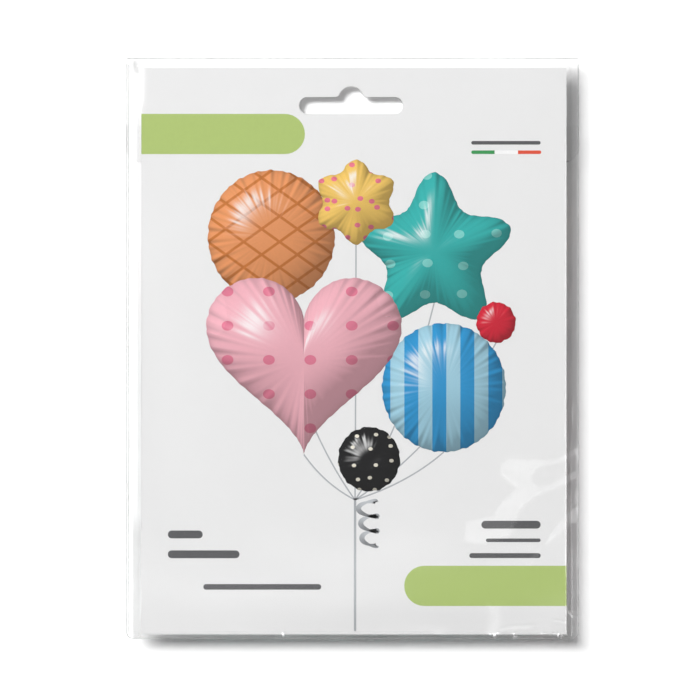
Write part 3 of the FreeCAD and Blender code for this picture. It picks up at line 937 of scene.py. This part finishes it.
def crease_fields(x, z):
    """Relief, haze and painted shade of the creases: a bell across each line, fading at its ends."""
    relief, haze_and_painted_highlight, crease_shade = np.zeros_like(x), np.zeros_like(x), np.zeros_like(x)
    for x0, z0, x1, z1, half_width, height, milk in CREASES:
        length = math.hypot(x1 - x0, z1 - z0) * MM
        along = unit(np.array((x1 - x0, z1 - z0)))
        run = (x - x0 * MM) * along[0] + (z - z0 * MM) * along[1]
        offset = (x - x0 * MM) * along[1] - (z - z0 * MM) * along[0]
        wander = offset + 0.35 * half_width * MM * np.sin(run / length * 5.0 + x0)
        ridge = bell(wander, half_width)
        fade = smooth_step(run / length * 4) * smooth_step((length - run) / length * 4)
        relief += height * MM * ridge * fade
        haze_and_painted_highlight += max(milk, 0) * ridge * fade
        crease_shade += max(-milk, 0) * ridge * fade
    return relief, haze_and_painted_highlight, crease_shade


def within(points, loop):
    """1 inside an outline, 0 outside, with a soft edge that is crisper beside the card."""
    soft = np.where(points[:, 0] > card_high[0], 0.2 * MM, 0.45 * MM)
    distance = nearest(points, divided(loop, 0.2 * MM))
    signed = np.where(inside(points, loop), distance, -distance)
    return smooth_step((signed + soft) / (2 * soft))


def veil(points):
    """How puckered the film is low on the right; the same amount sets its painted sheen there."""
    amount = within(points, VEIL)
    for pane in PANES:
        amount *= 1 - within(points, pane)
    return np.maximum(amount, within(points, STREAK))


def outside_card(x, z):
    """How far past the card's edge a point is, and below 0 where it is on the card."""
    return np.maximum.reduce((card_low[0] - x, x - card_high[0], card_low[2] - z, z - card_high[2]))


def left_margin_shade(x, z):
    """Painted shade: dims the film beside the card's left edge, more lower down."""
    past = card_low[0] - x
    further_down = ramp(-20 * MM - z, 70)
    far_down = ramp(-124 * MM - z, 14)
    near = (0.05 + 0.10 * further_down) * ramp(1.6 * MM - past, 0.5)
    far = 0.27 * far_down * ramp(3.1 * MM - past, 0.8)
    return np.maximum(near, far) * (past > -0.02 * MM)


def low_card_shade(x, z):
    """Painted shade: dims the film low on the card, so that the card is darker towards the bottom."""
    low = ramp(-155 * MM - z, 9) * (z > card_low[2])
    return 0.035 * low * (outside_card(x, z) < 0)


def front_depth(x, z):
    """Depth of the front film: card level, a step down past the card's edge, creases, swell."""
    past = outside_card(x, z)
    step = ramp(past, 1.5)
    relief, _, _ = crease_fields(x, z)
    relief = relief + 0.05 * MM * swell(x, z, 42 * MM, 6, 3) * (1 - step)
    ripple = 0.04 * MM * np.sin(z / (3.1 * MM) + 2 * np.sin(z / (17 * MM)))
    ripple *= ramp(past, 1) * ramp(3.5 * MM - past, 1)
    further_down = ramp(film_high[2] - z, 12)
    return CARD_Y + (RIM_Y - CARD_Y) * step - relief * further_down * (1 - 0.6 * step) - ripple * further_down


# %% Front film
rim = rounded_outline((film_low[0], film_low[2]), (film_high[0], hinge[2]),
                      (2 * MM, 2 * MM, 0.3 * MM, 0.3 * MM))
points, faces = flat_sheet(rim, [euro_slot()], STEP, fine=(
    (film_low[0] + MM, -136.0 * MM, card_low[0] + MM, 0.0, 2),
    (film_low[0] + MM, film_low[2] + MM, card_low[0] + MM, -136.5 * MM, 4),
    (33.5 * MM, -168.5 * MM, film_high[0] - MM, -108.5 * MM, 2),
    (card_high[0] - 0.2 * MM, -141.0 * MM, film_high[0] - 0.6 * MM, -109.0 * MM, 4)))
x, z = points.T
# the puckered patch is pushed in a little, and the same amount sets the painted sheen in its haze
puckered = veil(points)
depth = front_depth(x, z) - 0.04 * MM * puckered
past = outside_card(x, z)
# painted shade along the bend where the film steps down past the card's edge, stronger on the right
bend = bell(past - 0.95 * MM, 0.45) * (1 + 0.5 * swell(x, z, 20 * MM, 4, 5))
_, milky, crease_shade = crease_fields(x, z)
# haze: crease whitening with painted highlights, and a painted sheen on the puckered patch, stronger
# past the card's edge; edge: painted shade in the bend, the creases, beside the card's left edge and
# low on the card
front = film_piece("front_sheet", packed(x, depth, z), faces,
                   0.7 * milky + 0.045 * puckered * (1 + 1.3 * ramp(past, 0.5)) + 0.004,
                   edge=np.where(x < 0, 0.03, 0.12) * bend + crease_shade + left_margin_shade(x, z) + low_card_shade(x, z))
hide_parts("front_film")
print("front film:", len(points), "points")

# %% [markdown]
# ## Side welds, film edges and the bottom fold
#
# A hot wire seals the sides of the bag and leaves fine parallel ridges. They are half-round
# beads carried down each side; haze paints the right one as a lighter line and dimness paints the
# left one as a darker line of shade. The bottom of the bag is a fold of the film, crinkled where
# the card has pushed into it; its small facets catch the lamps, and haze on their sharpest crests
# paints brighter glints.

# %% Beads along a line


def bead(path, half_width, height, base_y, rise=-1.0):
    """Half-round bead along a path (n, 2) in the sheet's plane, standing out towards the front."""
    turn = np.linspace(0, math.pi, 6)
    flat = path[:, None] + sideways(path)[:, None] * (half_width * np.cos(turn))[:, None]
    depth = base_y[:, None] + rise * height * np.sin(turn)
    points = packed(flat[..., 0], depth, flat[..., 1])
    return points.reshape(-1, 3), grid_faces(len(path), len(turn))


def open_run(loop, keep):
    """The kept points of a closed outline in one run, from the end of its gap on."""
    return np.roll(loop, -1 - np.flatnonzero(~keep)[-1], axis=0)[:keep.sum()]


def joined(parts):
    """One mesh's points and faces from several."""
    points, faces = zip(*parts)
    first = np.cumsum([0] + [len(part) for part in points])
    return np.concatenate(points), np.concatenate([f + n for f, n in zip(faces, first)])


# %% Welds, bend over the card and cut edge
# inset in mm, top, haze and dimness of the ridge of each weld: the haze paints a lighter line,
# the dimness a line of shade
WELDS = {"left": (0.60, hinge[2] - 2 * MM, 0.01, 0.34), "right": (0.30, back_high[2], 0.05, 0.0)}
for side, (inset, top, haze_and_painted_highlight, painted_shade) in WELDS.items():
    run = np.linspace(film_low[2] + 2 * MM, top, 160)
    across = film_low[0] + inset * MM if side == "left" else film_high[0] - inset * MM
    path = packed(across + 0.05 * MM * np.sin(run / (9 * MM) + inset), run)
    points, faces = bead(path, 0.14 * MM, 0.07 * MM, front_depth(*path.T) - 0.01 * MM)
    film_piece(f"{side}_weld", points, faces, haze_and_painted_highlight, edge=painted_shade)

# a faint haze along the card's right edge paints the highlight of the film bending over it
path = packed(card_high[0] - 0.3 * MM, np.linspace(-150 * MM, -16 * MM, 150))
points, faces = bead(path, 0.16 * MM, 0.02 * MM, front_depth(*path.T) - 0.01 * MM)
film_piece("card_edge_glint", points, faces, 0.10)

EDGE_STEP = 1.5 * MM
TOP_GAP = 0.5 * MM        # the edges stop this far below the fold at the top
edge_loop = divided(rounded_outline((film_low[0] - 0.02 * MM, film_low[2] + 0.1 * MM),
                                    (film_high[0] + 0.02 * MM, hinge[2]),
                                    (1.9 * MM, 1.9 * MM, 0.3 * MM, 0.3 * MM)), EDGE_STEP)
edge_path = open_run(edge_loop, edge_loop[:, 1] < hinge[2] - TOP_GAP)
points, faces = bead(edge_path, 0.14 * MM, 0.05 * MM, front_depth(*edge_path.T))
left_side = points[:, 0] < film_low[0] + MM
right_side = points[:, 0] > film_high[0] - MM
# haze paints the cut edge as a lighter line along the bottom, and dimness as a line of shade all round
film_piece("cut_edge", points, faces, np.select((left_side, right_side), (0.02, 0.02), 0.12),
           edge=np.select((left_side & (points[:, 2] > back_high[2]), left_side, right_side),
                          (0.20, 0.48, 0.20), 0.26))
print("cut edge:", len(edge_path), "steps")

# %% Bottom fold
# middle, reach in mm and strength of the places where the film has bunched up along the bottom
BUNCHES = ((-35.4, 2.8, 0.8), (-20.9, 0.5, 1.2), (43.8, 2.2, 1.2), (50.3, 1.2, 1.1), (58.9, 0.6, 1.3),
           (63.6, 1.8, 1.2))
rows, columns = 11, 900
crinkle_top, crinkle_foot = card_low[2] + 1.0 * MM, film_low[2] + 0.08 * MM
x, z = np.meshgrid(np.linspace(film_low[0] + 2.2 * MM, film_high[0] - 2.2 * MM, columns),
                   np.linspace(crinkle_top, crinkle_foot, rows))
bunched = 0.12 * smooth_step(swell(x, 0 * x, 26 * MM, 4, 8) * 1.4 + 0.1)
for middle, reach, strength in BUNCHES:
    bunched = bunched + strength * bell(x - middle * MM, reach)
crinkle = folds(x, z, 1.5 * MM, 5, 21) * 0.10 * MM * np.clip(bunched, 0, 1.1)
crinkle = crinkle * ramp(crinkle_top - z, 0.6)
depth = front_depth(x, z) - 0.02 * MM - np.abs(crinkle)
points = packed(x, depth, z + 0.25 * crinkle).reshape(-1, 3)
# haze on the sharpest crests near the card's edge paints the bright glints
sharp = smooth_step((np.abs(crinkle) / MM - 0.020) / 0.026)
edge_on = bell(z - card_low[2] + 0.1 * MM, 0.75)
film_piece("bottom_fold", points, grid_faces(rows, columns)[:, ::-1],
           (0.01 + 0.75 * bunched * sharp * edge_on).ravel())
print("bottom fold:", len(points), "points")

# %% [markdown]
# ## The folded balloon
#
# Party balloons are two plies of nylon film, metallised with aluminium and printed, sealed
# round the edge. Folded flat, the plies stack into leaves. One sheet is carried along the
# serpentine of the fold and crumpled by triangle waves, because foil bends in flat facets with
# sharp creases between them. The last leaf, which shows through the back, is crumpled most.

# %% Metallised foil


def foil_material(name, ground, crumple, patches=(), seam=False):
    """Printed metallised film: coloured metal with facets of crumple mm and fine wrinkles."""
    material = new_material(name)
    place = object_place(material)
    colour = linear(ground)
    for angle, distance, patch in patches:
        across = calc(material, "DOT_PRODUCT", place, (math.cos(angle), 0, math.sin(angle)),
                      kind="VectorMath")
        colour = mix(material, calc(material, "GREATER_THAN", across, distance * MM), colour,
                     linear(patch))
    if seam:
        colour = mix(material, carried(material, "seam"), colour, linear("#d9dcdf"))
    # facets about a centimetre across, with creases 1 to 2 mm apart on them
    drift = add(material, "TexNoise", {"Vector": place, "Scale": 60.0}).outputs["Color"]
    bent = mix(material, 0.012, place, drift, "VECTOR")
    cells = add(material, "TexVoronoi", {"Vector": bent, "Scale": 1 / (crumple * MM)})
    broad = add(material, "Bump", {"Height": cells.outputs["Distance"], "Strength": 0.45,
                                   "Distance": 0.14 * crumple * MM})
    wrinkle = noise(material, place, 620.0, 4.0, 1.2)
    relief = add(material, "Bump", {"Height": wrinkle, "Strength": 0.35, "Distance": 0.00012,
                                    "Normal": broad.outputs["Normal"]})
    return finish_material(material, shader(material, "BsdfPrincipled", {
        "Base Color": colour, "Metallic": 0.95, "Roughness": 0.12,
        "Normal": relief.outputs["Normal"]}))


# direction across the edge of a printed patch, its distance in mm, and its colour
PATCHES = ((-2.25, 92.0, "#2fb0ac"), (1.15, -22.0, "#e9a066"))
rose_foil = foil_material("printed_metallised_nylon", "#f0a9b8", 11.0, PATCHES, seam=True)
silver_foil = foil_material("bare_metallised_nylon", "#d0d3d7", 6.0)
print("foils:", rose_foil.name, silver_foil.name)

# %% Flat facets of crumpled foil


def facets(x, z, size, seed):
    """Crumpled sheet, 0 to 1: random heights at random places, joined by flat triangles."""
    chance = np.random.default_rng(seed)
    low, high = np.array((x.min(), z.min())) - size, np.array((x.max(), z.max())) + size
    count = int(np.prod((high - low) / size))
    corners, triangles = triangulated(chance.uniform(low, high, (count, 2)))
    heights = chance.uniform(0, 1, len(corners))
    points = packed(x, z).reshape(-1, 2)
    height = np.full(len(points), 0.5)
    for a, b, c in triangles:
        sides = np.array((corners[b] - corners[a], corners[c] - corners[a])).T
        share = (points - corners[a]) @ np.linalg.inv(sides).T
        held = (share >= 0).all(axis=1) & (share.sum(axis=1) <= 1)
        height[held] = heights[a] + share[held] @ (heights[[b, c]] - heights[a])
    return height.reshape(x.shape)


# %% Serpentine of the leaves
LEAF_COUNT = 5
LEAF = 0.5 * MM           # thickness of a leaf, and the step to the next one
PITCH = 0.6 * MM
STAGGER = 0.7 * MM        # how much shorter each leaf is than the one before
END_DROP = 14.0 * MM
WAVE = 0.75 * MM          # height of the broad crumple of the last leaf
FACET, FACET_HEIGHT = 3.4 * MM, 0.26 * MM
SEAM_X, SEAM_Z, SEAM_RADIUS, SEAM_HALF = -30 * MM, -120 * MM, 58 * MM, 2.4 * MM


def serpentine():
    """Middle line of the leaves in y and z, and which leaf each point is on."""
    levels = [pack_low[2]]
    for turn_number in range(1, LEAF_COUNT):
        inset = LEAF + (PITCH - LEAF) / 2 + (turn_number - 1) * STAGGER
        levels.append(pack_high[2] - inset if turn_number % 2 else pack_low[2] + inset)
    levels.append(pack_high[2] - END_DROP)
    turn = np.linspace(0, math.pi, 9)[1:-1]
    parts = []
    for leaf, (start, end) in enumerate(zip(levels, levels[1:])):
        middle = pack_low[1] + LEAF / 2 + leaf * PITCH
        count = int(abs(end - start) / (0.72 * MM if leaf == LEAF_COUNT - 1 else 7.0 * MM))
        parts.append(packed(middle, np.linspace(start, end, count), leaf))
        if leaf < LEAF_COUNT - 1:
            up = (-1) ** leaf
            parts.append(packed(middle + PITCH / 2 - PITCH / 2 * np.cos(turn),
                                end + up * PITCH / 2 * np.sin(turn), leaf + 0.5))
    return np.concatenate(parts).T


# %% Folded foil
line_y, line_z, line_leaf = serpentine()
columns = 165
x, z, leaf = np.broadcast_arrays(np.linspace(pack_low[0], pack_high[0], columns),
                                 line_z[:, None], line_leaf[:, None])
last = leaf > LEAF_COUNT - 1.2
middle_x = (pack_low[0] + pack_high[0]) / 2
out = (x - middle_x) / (pack_high[0] - middle_x)
wobble = (1 + swell(leaf * 7 * MM, z, 45 * MM, 4, 31)) * 0.9 * MM
x = x - np.sign(out) * np.abs(out) ** 6 * np.clip(wobble, 0, None)
crumple = 0.45 + 0.40 * folds(x, z, 38 * MM, 5, 41) + 0.30 * folds(x, z, 12 * MM, 6, 51)
crumple = WAVE * np.clip(crumple, 0, 1) * leaf / (LEAF_COUNT - 1)
y = line_y[:, None] - crumple - FACET_HEIGHT * facets(x, z, FACET, 55) * last
points = packed(x, y, z).reshape(-1, 3)
foil = mesh_piece("folded_foil", points, grid_faces(len(line_y), columns), rose_foil, smooth=False)
off_seam = np.abs(np.hypot(x - SEAM_X, z - SEAM_Z) - SEAM_RADIUS)
seam = np.where(last, ramp(SEAM_HALF - off_seam, 0.5), 0.0)
give_attribute(foil, "seam", seam.ravel())
thicken(foil, 0.16 * MM)
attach(foil, "packet")
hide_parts("folded_balloon")
print("foil:", len(points), "points")

# %% [markdown]
# ## The inflation neck
#
# The neck is a flat tongue of two plies, sealed along both sides, with a small opening near its
# tip. It is a flat sheet again, pressed thin along its seams and puckered beside them.

# %% Neck
NECK_WIDTH = 24.0 * MM
ROOT_LENGTH = 10.0 * MM
NECK_SEAM = 1.6 * MM
OPENING_HALF, OPENING_LOW, OPENING_HIGH = 4.5 * MM, 7.6 * MM, 10.4 * MM
neck_x = (neck_low[0] + neck_high[0]) / 2
tip = rounded_outline((neck_x - NECK_WIDTH / 2, neck_low[2]),
                      (neck_x + NECK_WIDTH / 2, neck_high[2] - ROOT_LENGTH),
                      (5 * MM, 5 * MM, 0.01 * MM, 0.01 * MM))
root = np.array(((neck_high[0], neck_high[2]), (neck_low[0], neck_high[2])))
half = len(tip) // 2
neck_outline = np.concatenate((tip[:half], tip[half:half + 1], root, tip[-1:]))
opening = rounded_outline((neck_x - OPENING_HALF, neck_low[2] + OPENING_LOW),
                          (neck_x + OPENING_HALF, neck_low[2] + OPENING_HIGH), (1.39 * MM,) * 4)
points, faces = flat_sheet(neck_outline, [opening], 0.8 * MM)
x, z = points.T
rim_distance = nearest(points, divided(neck_outline, 0.5 * MM))
sealed = 1 - ramp(rim_distance - NECK_SEAM, 0.9)
pucker = 0.04 * MM * np.sin(z / (0.55 * MM)) * bell(rim_distance - 2.2 * MM, 1)
relief = 0.10 * MM * (1 - sealed) + pucker + 0.03 * MM * folds(x, z, 9 * MM, 4, 71)
depth = neck_low[1] + 0.04 * MM + relief
neck = mesh_piece("neck_foil", packed(x, depth, z), faces[:, ::-1], silver_foil)
thicken(neck, 0.06 * MM)
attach(neck, "packet")
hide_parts("inflation_neck")
print("neck:", len(points), "points")

# %% [markdown]
# ## Back of the bag
#
# The back film is drawn over the folded balloon and falls to the flat rim round it. It takes
# small creases from what it covers and radiating pulls at the corners of the pack.

# %% Depth of the back film
BACK_RIM_Y = back_low[1] + 0.05 * MM
CROWN_Y = back_high[1] - 0.06 * MM
SLOPE = 4.0 * MM          # run of the slope round the pack, and below it
SLOPE_LOW = 2.6 * MM
CORNER = 9 * MM           # radius that the pulls at the pack's corners spread from


def back_depth(x, z):
    """Depth of the back film: rim level, a soft slope, the panel over the pack, wrinkles."""
    out_x = np.maximum.reduce((pack_low[0] - x, x - pack_high[0], 0 * x)) / SLOPE
    out_z = np.where(z < pack_low[2], (pack_low[2] - z) / SLOPE_LOW,
                     np.maximum(z - pack_high[2], 0) / SLOPE)
    away = np.hypot(out_x, out_z)
    rise = 1 - smooth_step(away)
    pulls = np.sin(np.arctan2(z - np.clip(z, pack_low[2] + CORNER, pack_high[2] - CORNER),
                              x - np.clip(x, pack_low[0] + CORNER, pack_high[0] - CORNER)) * 22)
    pulls = pulls * 0.09 * MM * rise * (1 - rise) * 4
    wrinkle = 0.08 * MM * folds(x, z, 30 * MM, 5, 81) + 0.02 * MM * swell(x, z, 8 * MM, 5, 91)
    flat = ramp(back_high[2] - z, 10)
    return BACK_RIM_Y + (CROWN_Y - BACK_RIM_Y) * rise + (pulls + wrinkle * rise) * flat


# %% Back film
back_rim = rounded_outline((back_low[0], back_low[2]), (back_high[0], back_high[2]),
                           (2 * MM, 2 * MM, 0.01 * MM, 0.01 * MM))
points, faces = flat_sheet(back_rim, [], 1.15 * MM)
x, z = points.T
milky = 0.012 + 0.035 * np.clip(folds(x, z, 30 * MM, 5, 81), 0, 1) ** 2
back = film_piece("back_sheet", packed(x, back_depth(x, z), z), faces[:, ::-1], milky)
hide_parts("back_film")
print("back film:", len(points), "points")

# %% [markdown]
# ## The flap
#
# The film turns over the top of the bag and comes down behind it as a flap, punched with the same
# slot. The flap itself is stiff and rides on its own body. The fold between them is a narrow
# half-round strip.

# %% Flap
FLAP_Y = hinge[1] + FOLD_RADIUS
FLAP_CORNER = 4 * MM
flap_outline = rounded_outline((flap_low[0], flap_low[2]), (flap_high[0], hinge[2]),
                               (FLAP_CORNER, FLAP_CORNER, 0.01 * MM, 0.01 * MM))
points, faces = flat_sheet(flap_outline, [euro_slot()], 1.1 * MM)
x, z = points.T
lift = ramp(flap_high[2] - z, 14)
curve = (0.05 * MM * swell(x, z, 30 * MM, 5, 101) + 0.05 * MM) * lift
flap = film_piece("flap_sheet", packed(x, FLAP_Y + curve, z), faces[:, ::-1],
                  0.004, edge=0.02, body="flap")
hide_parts("seal_flap")

flap_loop = divided(flap_outline, EDGE_STEP)
flap_path = open_run(flap_loop, flap_loop[:, 1] < hinge[2] - TOP_GAP)
slot_path = divided(euro_slot(0.2 * MM), EDGE_STEP)
slot_path = np.concatenate((slot_path, slot_path[:2]))
points, faces = joined([bead(path, 0.25 * MM, 0.04 * MM, np.full(len(path), FLAP_Y), rise=1.0)
                        for path in (flap_path, slot_path)])
beside = outside_card(points[:, 0], points[:, 2]) > 0
corner = beside & (points[:, 2] < flap_low[2] + FLAP_CORNER + 0.5 * MM)
# dimness paints the flap's edges as lines of shade, darkest where they lie behind the card
film_piece("flap_edge", points, faces[:, ::-1], np.where(beside, 0.0, 0.04),
           edge=np.select((corner, beside), (0.02, 0.12), 0.50), body="flap")
print("flap, mm:", ((flap_high - flap_low) / MM).round(2))

# %% Top fold
rows, columns = 13, 120
turn = np.linspace(0, math.pi, rows)[:, None]
points = packed(np.linspace(film_low[0], film_high[0], columns),
                hinge[1] - FOLD_RADIUS * np.cos(turn),
                hinge[2] + FOLD_RADIUS * np.sin(turn)).reshape(-1, 3)
# dimness paints the top fold as a faint line of shade that varies along it
shade_along_fold = 1 + 0.35 * swell(points[:, 0], 0 * points[:, 0], 30 * MM, 5, 111)
top_fold = film_piece("top_fold", points, grid_faces(rows, columns)[:, ::-1],
                      0.005, edge=0.46 * shade_along_fold, body=None)
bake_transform(top_fold)
print("top fold, radius in mm:", round(FOLD_RADIUS / MM, 3))

# %% [markdown]
# ## The sealing strip
#
# The strip is a layer of clear acrylic adhesive, a little cloudy, with trapped bubbles.

# %% Adhesive
adhesive = new_material("acrylic_adhesive")
bubbles = noise(adhesive, object_place(adhesive), 700.0, 3.0)
through = shader(adhesive, "BsdfTransparent", {"Color": (0.97, 0.97, 0.96, 1)})
milk = shader(adhesive, "BsdfPrincipled", {"Base Color": linear("#e6e8e8"), "Roughness": 0.35})
cloudy = shader(adhesive, "MixShader", {0: ranged(adhesive, bubbles, 0.40, 0.90), 1: through, 2: milk})
dress("glue_strip", finish_material(adhesive, cloudy))
print("adhesive:", adhesive.name)
